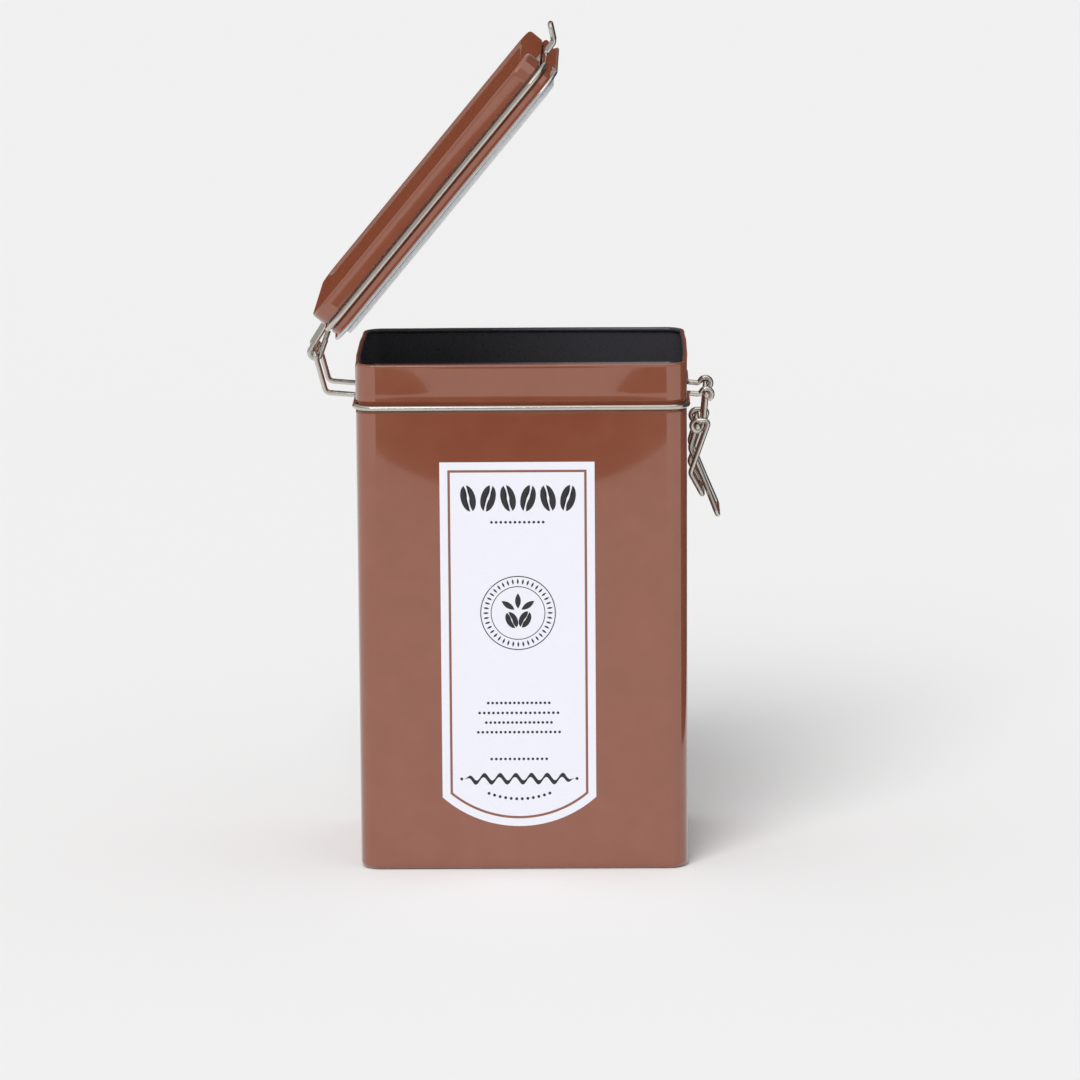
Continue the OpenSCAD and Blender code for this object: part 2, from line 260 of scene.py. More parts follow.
def arc(centre, radius, start, end, steps):
    """Points of an arc in section, angles in degrees."""
    angles = [math.radians(start + (end - start) * i / steps) for i in range(steps + 1)]
    return [(centre[0] + radius * math.cos(a), centre[1] + radius * math.sin(a)) for a in angles]


def groove(z, height, deep, inward):
    """An arc that dips into a wall by deep; inward shifts it to the sheet's other face."""
    radius = (height ** 2 / 4 + deep ** 2) / (2 * deep)
    centre = radius - deep
    grown = radius + inward
    half = math.degrees(math.acos((centre + inward) / grown))
    return arc((centre, z), grown, 180 + half, 180 - half, 12)


def push(bm, geom, along, steps=1):
    """Extrudes an outline along a vector in equal steps and returns the new end."""
    move = Vector(along) / steps
    return bmesh.ops.spin(bm, geom=geom, cent=(0, 0, 0), axis=(0, 0, 1), angle=0, dvec=move, steps=steps,
                          space=Matrix.Identity(4))["geom_last"]


def swing(bm, geom, centre, axis, angle, steps):
    """Spins an outline about an axis and returns the new end."""
    return bmesh.ops.spin(bm, geom=geom, cent=centre, axis=axis, angle=angle, dvec=(0, 0, 0), steps=steps,
                          space=Matrix.Identity(4))["geom_last"]


def mirror(bm, axis):
    """Adds the other half of a symmetrical piece and joins it at the middle."""
    bmesh.ops.mirror(bm, geom=bm.verts[:] + bm.edges[:] + bm.faces[:], axis=axis, merge_dist=0.001)


def round_the_tin(outline, half_w, half_d, corner, closed=True, wall_steps=10, corner_steps=12):
    """A sheet or ring with the given section, all round a rounded rectangle."""
    bm = bmesh.new()
    verts = [bm.verts.new((0, -half_d - u, z)) for u, z in outline]
    ends = verts[1:] + verts[:1] if closed else verts[1:]
    edges = [bm.edges.new(pair) for pair in zip(verts, ends)]
    end = push(bm, verts + edges, (half_w - corner - FLAT_EDGE, 0, 0), wall_steps)
    end = push(bm, end, (FLAT_EDGE, 0, 0))
    end = swing(bm, end, (half_w - corner, corner - half_d, 0), (0, 0, 1), math.pi / 2, corner_steps)
    end = push(bm, end, (0, FLAT_EDGE, 0))
    push(bm, end, (0, half_d - corner - FLAT_EDGE, 0), wall_steps)
    mirror(bm, "X")
    mirror(bm, "Y")
    return bm


def finish_piece(bm, name, body, finishes, stands_for=(), sharp=32):
    """Turns a bmesh in millimetres into a finished piece that rides on a body of the frame."""
    bmesh.ops.recalc_face_normals(bm, faces=bm.faces[:])
    bmesh.ops.scale(bm, vec=(MM, MM, MM), verts=bm.verts[:])
    mesh = bpy.data.meshes.new(name)
    bm.to_mesh(mesh)
    bm.free()
    for finish in finishes:
        mesh.materials.append(finish)
    mesh.shade_smooth()
    mesh.set_sharp_from_angle(angle=math.radians(sharp))
    piece = bpy.data.objects.new(name, mesh)
    bpy.context.scene.collection.objects.link(piece)
    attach(piece, body)
    if stands_for:
        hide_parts(*stands_for)
    print(name, len(mesh.polygons), "faces,", [round(d / MM, 1) for d in piece.dimensions], "mm")
    return piece


# %% [markdown]
# The body is one strip of tinplate, bent to a rounded rectangle, seamed at the back, curled in at the foot
# and hemmed outwards at the rim. A groove for the wire ring is rolled into it below the rim, and the neck
# above flares a little. The flare is strongest in the middle of each wall, because the stiff corners give
# less when the neck is opened, and that is what breaks the reflection on it.

# %% Body shell
PLATE = 0.5
HEM_R = 0.8
NECK_FLARE = 0.4
FOOT_R = 2
BODY_CORNER = 6.5
GROOVE_H = 4.2
GROOVE_DEEP = 0.75
GROOVE_EDGE = 0.3
STIFF_FROM = 0.4
STIFF_OVER = 0.5
shell_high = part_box("body_shell")[1]
RIM = shell_high.z / MM
BODY_HALF_W = shell_high.x / MM - NECK_FLARE
BODY_HALF_D = shell_high.y / MM - NECK_FLARE
GROOVE_Z = RIM - 14.4
NECK_Z = GROOVE_Z + GROOVE_H / 2 + 2

outline = ([(-FOOT_R - 1, 0)]
           + arc((-FOOT_R, FOOT_R), FOOT_R, -90, 0, 8)
           + [(0, FOOT_R + 0.4), (0, 50), (0, 100), (0, GROOVE_Z - GROOVE_H / 2 - GROOVE_EDGE)]
           + groove(GROOVE_Z, GROOVE_H, GROOVE_DEEP, 0)
           + [(0, GROOVE_Z + GROOVE_H / 2 + GROOVE_EDGE), (0, NECK_Z - 0.8), (0.03, NECK_Z),
              (0.09, NECK_Z + 1.2), (NECK_FLARE - 0.03, RIM - HEM_R - 0.5)]
           + arc((NECK_FLARE - HEM_R, RIM - HEM_R), HEM_R, 0, 290, 20)
           + [(-PLATE, NECK_Z)]
           + groove(GROOVE_Z, GROOVE_H, GROOVE_DEEP, PLATE)[::-1]
           + [(-PLATE, 130), (-PLATE, 80), (-PLATE, 30)]
           + arc((-FOOT_R, FOOT_R), FOOT_R - PLATE, 0, -90, 6)
           + [(-FOOT_R - 1, PLATE)])
bm = round_the_tin(outline, BODY_HALF_W, BODY_HALF_D, BODY_CORNER)


def outward(point, half_w, half_d, corner):
    """Level direction from the tin's inside to a point on its wall."""
    core = Vector((max(corner - half_w, min(half_w - corner, point.x)),
                   max(corner - half_d, min(half_d - corner, point.y)), 0))
    return Vector((point.x, point.y, 0)) - core


for vert in bm.verts:
    rise = min(1, max(0, (vert.co.z - NECK_Z) / (RIM - HEM_R - NECK_Z)))
    near = min(abs(vert.co.x) / (BODY_HALF_W - BODY_CORNER),
               abs(vert.co.y) / (BODY_HALF_D - BODY_CORNER))
    share = min(1, max(0, (near - STIFF_FROM) / STIFF_OVER))
    stiff = share * share * (3 - 2 * share)
    away = outward(vert.co, BODY_HALF_W, BODY_HALF_D, BODY_CORNER).normalized()
    vert.co -= away * NECK_FLARE * rise * stiff

bmesh.ops.recalc_face_normals(bm, faces=bm.faces[:])
for face in bm.faces:
    middle = face.calc_center_median()
    inside = face.normal.dot(outward(middle, BODY_HALF_W, BODY_HALF_D, BODY_CORNER)) < FACING_IN
    face.material_index = int(inside and middle.z > PLATE)
finish_piece(bm, "Body_Wall", "tin", [gloss_lacquer, black_varnish], ["body_shell"])

# %% [markdown]
# The strip's two ends meet at the back in a lap seam, soldered or welded and then varnished over. It is a
# low flat step a few millimetres wide. It stops short of the groove, where the rollers flatten it.

# %% Back seam
SEAM_W = 4.5
SEAM_T = 0.22
SEAM_SOFT = 0.18
bm = bmesh.new()
bmesh.ops.create_cube(bm, size=1)
seam_low, seam_high = FOOT_R + 0.5, GROOVE_Z - GROOVE_H / 2 - 0.6
bmesh.ops.scale(bm, vec=(SEAM_W, 2 * SEAM_T, seam_high - seam_low), verts=bm.verts[:])
bmesh.ops.translate(bm, vec=(0, BODY_HALF_D, (seam_low + seam_high) / 2), verts=bm.verts[:])
long_edges = [e for e in bm.edges if all(v.co.y > BODY_HALF_D for v in e.verts)]
bmesh.ops.bevel(bm, geom=long_edges, offset=SEAM_SOFT, segments=3, profile=0.5, affect="EDGES", material=-1)
finish_piece(bm, "Back_Seam", "tin", [gloss_lacquer])

# %% [markdown]
# The base is a separate pressing. Its edge sits on the curled foot, inside the body, and its middle is
# dished down to the table with a shallow bead round it, which keeps a thin flat sheet from drumming. An
# inset would pinch the small corners, so each step of a pressing is the last edge extruded and then fitted
# to the next plan, which has its own size and corner radius.

# %% Pressing helpers
def fit_plan(verts, old, new):
    """Moves points from one rounded rectangle to another; a plan is half width, half depth, corner."""
    for vert in verts:
        at_corner = [abs(vert.co[i]) > old[i] - old[2] + 1e-4 for i in (0, 1)]
        for i in (0, 1):
            core_old, core_new = old[i] - old[2], new[i] - new[2]
            if at_corner[i]:
                placed = core_new + (abs(vert.co[i]) - core_old) * new[2] / old[2]
            else:
                placed = abs(vert.co[i]) * core_new / core_old
            vert.co[i] = math.copysign(placed, vert.co[i])


def press(bm, rim, plan, steps):
    """Carries a rim inwards through steps of inset, rise and corner radius, and fills the middle."""
    for inset, rise, corner in steps:
        new = bmesh.ops.extrude_edge_only(bm, edges=rim)["geom"]
        rim = [g for g in new if isinstance(g, bmesh.types.BMEdge)]
        verts = [g for g in new if isinstance(g, bmesh.types.BMVert)]
        next_plan = (plan[0] - inset, plan[1] - inset, corner)
        fit_plan(verts, plan, next_plan)
        bmesh.ops.translate(bm, vec=(0, 0, rise), verts=verts)
        plan = next_plan
    return bmesh.ops.edgeloop_fill(bm, edges=rim)["faces"][0]


# %% [markdown]
# The plate starts as a rounded rectangle's edge. Its steps in the list below run inwards: the rim that
# sits on the foot, the drop to the table, and the bead. Solidify then gives the sheet its thickness
# downwards.

# %% Base plate
BEAD = 0.35
BASE_GAP = 0.03
base_plan = (BODY_HALF_W - PLATE - BASE_GAP, BODY_HALF_D - PLATE - BASE_GAP, BODY_CORNER - PLATE)
bm = bmesh.new()
bmesh.ops.create_grid(bm, x_segments=1, y_segments=1, size=1)
bmesh.ops.scale(bm, vec=(base_plan[0], base_plan[1], 1), verts=bm.verts[:])
bmesh.ops.bevel(bm, geom=bm.verts[:], offset=base_plan[2], segments=8, profile=0.5, affect="VERTICES",
                material=-1)
bmesh.ops.translate(bm, vec=(0, 0, FOOT_R + PLATE), verts=bm.verts[:])
bmesh.ops.delete(bm, geom=bm.faces[:], context="FACES_ONLY")
press(bm, bm.edges[:], base_plan, (
    (4.9, 0, 4), (0.5, -0.2, 3.9), (0.4, 0.4 - FOOT_R, 3.8), (0.5, -0.2, 3.7), (4, 0, 6),
    (0.6, BEAD / 2, 6), (0.6, BEAD / 2, 6), (2.4, 0, 6), (0.6, -BEAD / 2, 6), (0.6, -BEAD / 2, 6)))
bmesh.ops.recalc_face_normals(bm, faces=bm.faces[:])
if sum(face.normal.z for face in bm.faces) < 0:
    bmesh.ops.reverse_faces(bm, faces=bm.faces[:])
upper_side = set(bm.faces)
bmesh.ops.solidify(bm, geom=bm.faces[:], thickness=PLATE)
for face in bm.faces:
    face.material_index = 0 if face in upper_side else 1
finish_piece(bm, "Base_Plate", "tin", [black_varnish, bare_tinplate], ["bottom_plate"])

# %% [markdown]
# Wire pieces are made the way a wire bender makes them. A ring of points stands for the round section; it
# is pushed along each straight and swung round each bend. Corners are given as a point and a bend radius.
# All four wire pieces are symmetrical, so half is bent, from the middle outwards, and then mirrored.

# %% Wire helpers
WIRE_R = 0.9
WIRE_SIDES = 20
SHORTEST_RUN = 0.02
BEND_STEP = 0.17
END_SOFT = 0.35


def bend_wire(middle, corners, end):
    """Half of a wire, from its middle through its corners to its cut end, and its mirror image."""
    bm = bmesh.new()
    points = [Vector(middle)] + [Vector(p) for p, _ in corners] + [Vector(end)]
    bmesh.ops.create_circle(bm, segments=WIRE_SIDES, radius=WIRE_R)
    along = (points[1] - points[0]).normalized()
    turned = Vector((0, 0, 1)).rotation_difference(along).to_matrix()
    bmesh.ops.rotate(bm, cent=(0, 0, 0), matrix=turned, verts=bm.verts[:])
    bmesh.ops.translate(bm, vec=points[0], verts=bm.verts[:])
    tip, here = bm.verts[:] + bm.edges[:], points[0]
    for i, (_, radius) in enumerate(corners, 1):
        along = (points[i] - points[i - 1]).normalized()
        onward = (points[i + 1] - points[i]).normalized()
        angle = along.angle(onward)
        start = points[i] - along * radius * math.tan(angle / 2)
        if (start - here).length > SHORTEST_RUN:
            tip = push(bm, tip, start - here)
        axis = along.cross(onward).normalized()
        hub = start + axis.cross(along) * radius
        tip = swing(bm, tip, hub, axis, angle, math.ceil(angle / BEND_STEP))
        here = points[i] + onward * radius * math.tan(angle / 2)
    tip = push(bm, tip, points[-1] - here)
    rim = [g for g in tip if isinstance(g, bmesh.types.BMEdge)]
    bmesh.ops.edgeloop_fill(bm, edges=rim)
    bmesh.ops.bevel(bm, geom=rim, offset=END_SOFT, segments=3, profile=0.5, affect="EDGES", material=-1)
    mirror(bm, "Y")
    return bm


def at(place, y, radius):
    """A corner in the plane at y, from its place in side view."""
    return (place[0], y, place[1]), radius


def loop_round(centre, y, radius, start, end, steps, y_end=None):
    """Corners that take a wire round an eye, seen from the front, drifting from y to y_end."""
    y_end = y if y_end is None else y_end
    step = math.radians(end - start) / steps
    corners = []
    for i in range(steps):
        angle = math.radians(start) + (i + 0.5) * step
        reach = radius / math.cos(step / 2)
        corners.append(at((centre[0] + reach * math.cos(angle), centre[1] + reach * math.sin(angle)),
                          y + (y_end - y) * (i + 0.5) / steps, radius))
    return corners


def on_circle(centre, radius, angle):
    """A point in side view on a circle."""
    turn = math.radians(angle)
    return centre[0] + radius * math.cos(turn), centre[1] + radius * math.sin(turn)


# %% [markdown]
# The body's ring lies in its groove like a tyre. At the hinge side it leaves the groove, runs out, and
# stands up as two posts joined by the bar on which the lid turns. At the clasp side each end is turned
# into an eye for the lever.

# %% Body ring
PIVOTS = {joint["name"]: (joint["pos_m"][0] / MM, joint["pos_m"][2] / MM) for joint in frame["joints"]}
HINGE, EYE, COIL = PIVOTS["lid_hinge"], PIVOTS["lever_hinge"], PIVOTS["link_hinge"]
EYE_R = 1.88
RING_OUT = 0.25
RING_Z = GROOVE_Z - 0.15
HINGE_HALF = 11.8
EYE_HALF = 11.3
EYE_ENTRY = 150
EYE_END = -60
ENTRY_RUN = 1.09
POST_FOOT = (3.5, 0.9)
ring_x, ring_y, ring_r = BODY_HALF_W + RING_OUT, BODY_HALF_D + RING_OUT, BODY_CORNER + RING_OUT
entry = on_circle(EYE, EYE_R, EYE_ENTRY)
entry_corner = (entry[0] - ENTRY_RUN * math.sin(math.radians(EYE_ENTRY)),
                entry[1] + ENTRY_RUN * math.cos(math.radians(EYE_ENTRY)))
eye_end = on_circle(EYE, EYE_R, EYE_END)
bm = bend_wire(
    (HINGE[0], 0, HINGE[1]),
    [at(HINGE, -HINGE_HALF, 1.2),
     at((HINGE[0] + POST_FOOT[0], RING_Z + POST_FOOT[1]), -HINGE_HALF, 2),
     at((-ring_x, RING_Z), -HINGE_HALF, 1.6),
     at((-ring_x, RING_Z), -ring_y, ring_r),
     at((ring_x, RING_Z), -ring_y, ring_r),
     at((ring_x, RING_Z), -EYE_HALF, 1.4),
     at(entry_corner, -EYE_HALF, 1.2)]
    + loop_round(EYE, -EYE_HALF, EYE_R, EYE_ENTRY, EYE_END, 3),
    (eye_end[0], -EYE_HALF, eye_end[1]))
finish_piece(bm, "Body_Ring", "tin", [nickel], ["body_ring"])

# %% [markdown]
# The lever hangs from the eyes of the body ring. Each side has a coil, which makes it springy and carries
# the end of the bail, and below the coils it narrows to a finger loop. The bail is the inner frame that
# reaches up over the lid's hook when the tin is shut.

# %% Lever and bail
LEVER_HALF = 9.2
HANDLE_HALF = 11.1
BAIL_HALF = 7.1
BAIL_END_HALF = 11
PIN_END = 1.4


def from_coil(x, z):
    """A place in side view, measured from the coil's middle."""
    return COIL[0] + x, COIL[1] + z


bm = bend_wire(
    (from_coil(1.6, -23.4)[0], 0, from_coil(1.6, -23.4)[1]),
    [at(from_coil(1.6, -23.4), -HANDLE_HALF, 1.5),
     at(from_coil(-2.4, -16), -HANDLE_HALF, 2),
     at(from_coil(4, EYE_R), -HANDLE_HALF, 1.3)]
    + loop_round(COIL, -HANDLE_HALF, EYE_R, 90, 360, 4, -LEVER_HALF)
    + [at(EYE, -LEVER_HALF, 1.2)],
    (EYE[0], -EYE_HALF - WIRE_R - PIN_END, EYE[1]))
finish_piece(bm, "Clasp_Lever", "lever", [nickel], ["clasp_lever"])

bm = bend_wire(
    (from_coil(6.8, -30.5)[0], 0, from_coil(6.8, -30.5)[1]),
    [at(from_coil(6.8, -30.5), -BAIL_END_HALF, 1.5),
     at(from_coil(2.5, -19.8), -BAIL_HALF, 3),
     at(from_coil(-0.1, -13.3), -BAIL_HALF, 3),
     at(from_coil(-2.4, -8.2), -BAIL_HALF, 3),
     at(COIL, -BAIL_HALF, 1.2)],
    (COIL[0], -HANDLE_HALF - WIRE_R - PIN_END, COIL[1]))
finish_piece(bm, "Clasp_Bail", "link", [nickel], ["clasp_link"])

# %% [markdown]
# The lid's pieces are easiest to draw shut, level on the tin, where their sizes line up with the body's.
# Each one is then swung about the hinge bar to where the lid stands in the frame.

# %% Lid placing
LID_OPEN = 50.3
LID_OVER = 1.4
LID_H = 12
LIP_Z = RIM - 2
LID_TOP = LIP_Z + LID_H
LID_HALF_W = BODY_HALF_W + LID_OVER
LID_HALF_D = BODY_HALF_D + LID_OVER
LID_CORNER = BODY_CORNER + LID_OVER


def open_lid(bm):
    """Swings a lid piece that was drawn shut to where the lid stands open."""
    swing_back = Matrix.Rotation(math.radians(-LID_OPEN), 3, "Y")
    bmesh.ops.rotate(bm, cent=(HINGE[0], 0, HINGE[1]), matrix=swing_back, verts=bm.verts[:])


def panel_rims(bm):
    """The two open rims of a swept sheet, the upper one first."""
    rims = sorted((e for e in bm.edges if e.is_boundary), key=lambda e: -e.verts[0].co.z)
    return rims[:len(rims) // 2], rims[len(rims) // 2:]


# %% [markdown]
# The lid's shell is drawn from one sheet. A low step round the top keeps it flat and lets tins stack, a
# groove takes the wire, and the lip at the foot is curled outwards. The curl is left bare, because varnish
# would crack there.

# %% Lid shell
LIP_OUT = 1.4
LIP_R = 0.6
STEP_Z = 0.6
EDGE_R = 1.2
SKIRT_LEAN = 0.12
LID_GROOVE_Z = LIP_Z + 5.1
LID_GROOVE_H = 3.4
PANEL_IN = 6.6
STEP_ABOVE = ((-4.75, STEP_Z), (-4.45, 0.42), (-4.1, 0.12), (-3.8, 0))
STEP_BELOW = ((-4, 0), (-4.6, STEP_Z))
SKIRT_FOOT = 1.9
SKIRT_FOOT_IN = 2.4
BARE_CURL = 1.85
outline = ([(-PANEL_IN, LID_TOP - STEP_Z)]
           + [(u, LID_TOP - drop) for u, drop in STEP_ABOVE]
           + arc((-EDGE_R, LID_TOP - EDGE_R), EDGE_R, 90, 0, 8)
           + groove(LID_GROOVE_Z, LID_GROOVE_H, GROOVE_DEEP, 0)[::-1]
           + [(SKIRT_LEAN, LIP_Z + SKIRT_FOOT)]
           + arc((LIP_OUT - LIP_R, LIP_Z + LIP_R), LIP_R, 60, -180, 16)
           + [(-PLATE, LIP_Z + SKIRT_FOOT_IN)]
           + groove(LID_GROOVE_Z, LID_GROOVE_H, GROOVE_DEEP, PLATE)
           + arc((-EDGE_R, LID_TOP - EDGE_R), EDGE_R - PLATE, 0, 90, 6)
           + [(u, LID_TOP - drop - PLATE) for u, drop in STEP_BELOW]
           + [(-PANEL_IN, LID_TOP - STEP_Z - PLATE)])
bm = round_the_tin(outline, LID_HALF_W, LID_HALF_D, LID_CORNER, closed=False)
panel_plan = (LID_HALF_W - PANEL_IN, LID_HALF_D - PANEL_IN, LID_CORNER - PANEL_IN)
for rim in panel_rims(bm):
    press(bm, rim, panel_plan, ((4, 0, 3), (14, 0, 6)))
bmesh.ops.recalc_face_normals(bm, faces=bm.faces[:])
for face in bm.faces:
    middle = face.calc_center_median()
    away = outward(middle, LID_HALF_W, LID_HALF_D, LID_CORNER)
    on_curl = middle.z < LIP_Z + LIP_R * BARE_CURL
    underside = face.normal.z < -0.5 or face.normal.dot(away) < FACING_IN and middle.z < LID_TOP - EDGE_R
    face.material_index = int(on_curl or underside)
open_lid(bm)
finish_piece(bm, "Lid_Cover", "lid", [gloss_lacquer, bare_tinplate], ["lid_shell"])

# %% [markdown]
# Inside the lid sits a shallow tray of bare tinplate. Its flange is trapped in the shell, its wall holds
# the seal, and its floor enters the mouth of the tin. A bead is pressed into the floor, as in the base.

# %% Lid tray
TRAY_T = 0.4
TRAY_WALL = -3.5
TRAY_BEND = 0.8
TRAY_RIM = -1.35
tray_floor = LIP_Z - 1
tray_flange = LIP_Z + 3
outline = ([(-PANEL_IN, tray_floor + TRAY_T)]
           + arc((TRAY_WALL - TRAY_BEND, tray_floor + TRAY_BEND), TRAY_BEND - TRAY_T, -90, 0, 5)
           + [(TRAY_WALL - TRAY_T, tray_flange + TRAY_T), (TRAY_RIM, tray_flange + TRAY_T),
              (TRAY_RIM, tray_flange), (TRAY_WALL, tray_flange)]
           + arc((TRAY_WALL - TRAY_BEND, tray_floor + TRAY_BEND), TRAY_BEND, 0, -90, 7)
           + [(-PANEL_IN, tray_floor)])
bm = round_the_tin(outline, LID_HALF_W, LID_HALF_D, LID_CORNER, closed=False)
for rim in panel_rims(bm):
    press(bm, rim, panel_plan, ((5, 0, 5), (0.6, BEAD / 2, 5), (0.6, BEAD / 2, 5), (2.4, 0, 5),
                                (0.6, -BEAD / 2, 5), (0.6, -BEAD / 2, 5)))
open_lid(bm)
finish_piece(bm, "Lid_Tray", "lid", [bare_tinplate], ["lid_liner"])

# %% [markdown]
# The seal is a moulded ring with a flat part, which the rim presses on, and a thin lip that hugs the tray
# and wipes the inside of the mouth as the lid comes down.

# %% Seal
SEAL_IN, SEAL_OUT, SEAL_LIP = -3.48, -1.6, -3.1
SEAL_SOFT = 0.12
SEAL_EDGE_T = 0.22
SEAL_TAPER = 0.3
SEAL_FILLET = 0.15
seal_top = LIP_Z + 2.98
seal_flat = RIM + 0.35
seal_end = LIP_Z - 1.8
outline = [(SEAL_OUT, seal_flat + SEAL_SOFT), (SEAL_OUT, seal_top - SEAL_SOFT),
           (SEAL_OUT - SEAL_SOFT, seal_top), (SEAL_IN, seal_top), (SEAL_IN, seal_end),
           (SEAL_IN + SEAL_EDGE_T, seal_end), (SEAL_LIP - 0.05, seal_end + SEAL_TAPER),
           (SEAL_LIP, seal_end + 2 * SEAL_TAPER), (SEAL_LIP, seal_flat - SEAL_FILLET),
           (SEAL_LIP + SEAL_FILLET, seal_flat), (SEAL_OUT - SEAL_SOFT, seal_flat)]
bm = round_the_tin(outline, LID_HALF_W, LID_HALF_D, LID_CORNER)
open_lid(bm)
finish_piece(bm, "Lid_Seal", "lid", [silicone], ["lid_gasket"])

# %% [markdown]
# The lid's ring runs round its groove. At the hinge side both ends curl round the hinge bar, and at the
# clasp side the wire leaves the groove as a narrow hook that the bail catches.

# %% Lid ring
CURL_HALF = 9.6
HOOK_HALF = 3.5
TAIL = 290
TAIL_RUN = 5.5
HOOK_TIP = (8.7, 4.9)
HOOK_KNEE = (5.2, 0.5)
lid_x, lid_y, lid_r = LID_HALF_W + RING_OUT, LID_HALF_D + RING_OUT, LID_CORNER + RING_OUT
lid_z = LID_GROOVE_Z - 0.1
reach = (-lid_x - HINGE[0], lid_z - HINGE[1])
lead = math.degrees(math.atan2(reach[1], reach[0]) + math.acos(EYE_R / math.hypot(*reach)))
tail = on_circle(HINGE, EYE_R, TAIL)
tail_end = (tail[0] - TAIL_RUN * math.sin(math.radians(TAIL)),
            tail[1] + TAIL_RUN * math.cos(math.radians(TAIL)))
bm = bend_wire(
    (lid_x + HOOK_TIP[0], 0, lid_z + HOOK_TIP[1]),
    [at((lid_x + HOOK_TIP[0], lid_z + HOOK_TIP[1]), -HOOK_HALF, 1.2),
     at((lid_x + HOOK_KNEE[0], lid_z + HOOK_KNEE[1]), -HOOK_HALF, 1.6),
     at((lid_x, lid_z), -HOOK_HALF, 1.4),
     at((lid_x, lid_z), -lid_y, lid_r),
     at((-lid_x, lid_z), -lid_y, lid_r),
     at((-lid_x, lid_z), -CURL_HALF, 1.4)]
    + loop_round(HINGE, -CURL_HALF, EYE_R, lead, TAIL, 3),
    (tail_end[0], -CURL_HALF, tail_end[1]))
open_lid(bm)
finish_piece(bm, "Lid_Ring", "lid", [nickel], ["lid_ring"])

# %% [markdown]
# The label is die-cut paper with a curved foot, glued to the front. Its curved edge is a single point spun
# about the middle of that arc; the edge is then pushed up to make the sheet, and the sheet is given the
# thickness of the paper and its glue.

# %% Paper label
LABEL_W = 51.5
LABEL_TOP = 139.2
LABEL_SIDE = 25.1
LABEL_SAG = 10
LABEL_X = -1.5
PAPER_T = 0.15
INK_T = 0.03
INK_LIFT = 0.005
FRONT = -BODY_HALF_D


def label_outline(margin=0.0, steps=32):
    """One upright face in the label's shape, smaller by margin all round, at the face of the tin."""
    bm = bmesh.new()
    half = LABEL_W / 2
    radius = (half ** 2 + LABEL_SAG ** 2) / (2 * LABEL_SAG)
    centre = Vector((LABEL_X, FRONT, LABEL_SIDE - LABEL_SAG + radius))
    swept = 2 * math.asin((half - margin) / (radius - margin))
    side = Vector((-math.sin(swept / 2), 0, -math.cos(swept / 2))) * (radius - margin)
    left = bm.verts.new(centre + side)
    swing(bm, [left], centre, (0, -1, 0), swept, steps)
    edges = bm.edges[:]
    upper = bmesh.ops.extrude_edge_only(bm, edges=edges)["geom"]
    for vert in (g for g in upper if isinstance(g, bmesh.types.BMVert)):
        vert.co.z = LABEL_TOP - margin
    return bm


def thicken(bm, front, depth):
    """Pulls flat upright faces forward into a solid whose front is at that y, with the given depth."""
    bmesh.ops.translate(bm, vec=(0, front + depth - FRONT, 0), verts=bm.verts[:])
    solid = bmesh.ops.extrude_face_region(bm, geom=bm.faces[:], use_keep_orig=True)["geom"]
    moved = [g for g in solid if isinstance(g, bmesh.types.BMVert)]
    bmesh.ops.translate(bm, vec=(0, -depth, 0), verts=moved)


paper_front = FRONT - PAPER_T
ink_front = paper_front - INK_T
bm = label_outline()
thicken(bm, paper_front, PAPER_T)
finish_piece(bm, "Paper_Label", "tin", [coated_paper], ["front_label"])

# %% [markdown]
# The print is made of thin films of ink that stand a hair off the paper, so that it keeps crisp edges at
# any distance. It carries no words: a keyline frame, a row of coffee beans for a heading, a round stamp
# with a sprig, rows of dots, and a wavy flourish. The keyline is the label's own outline twice, one a
# little smaller, with a bridge between them.

# %% Keyline
KEYLINE_IN = 2.65
KEYLINE_W = 0.8


def outline_loop(margin):
    """The label's outline as one flat face."""
    bm = label_outline(margin)
    bmesh.ops.dissolve_faces(bm, faces=bm.faces[:])
    return bm


bm = outline_loop(KEYLINE_IN)
bmesh.ops.inset_region(bm, faces=bm.faces[:], thickness=KEYLINE_W, depth=0,
                       use_even_offset=True, use_boundary=True)
bmesh.ops.delete(bm, geom=[max(bm.faces, key=lambda f: f.calc_area())], context="FACES")
thicken(bm, ink_front, INK_T - INK_LIFT)
finish_piece(bm, "Label_Keyline", "tin", [brown_ink])

# %% [markdown]
# A coffee bean is an oval with a crease. Each half is drawn as a disc, cut down its middle, bent along the
# crease and moved apart by the crease's width. Dots and rings are discs too, so one small helper makes
# them all in the label's plane.

# %% Print helpers
def disc(bm, x, z, radius, sides=20):
    """A flat disc in the label's plane."""
    turned = Matrix.Translation((LABEL_X + x, FRONT, z)) @ Matrix.Rotation(math.pi / 2, 4, "X")
    return bmesh.ops.create_circle(bm, cap_ends=True, segments=sides, radius=radius, matrix=turned)["verts"]


def ring(bm, x, z, radius, width, sides=72):
    """A flat ring in the label's plane."""
    verts = disc(bm, x, z, radius, sides)
    face = verts[0].link_faces[0]
    bmesh.ops.inset_region(bm, faces=[face], thickness=width, depth=0, use_even_offset=True,
                           use_boundary=True)
    bmesh.ops.delete(bm, geom=[face], context="FACES_ONLY")


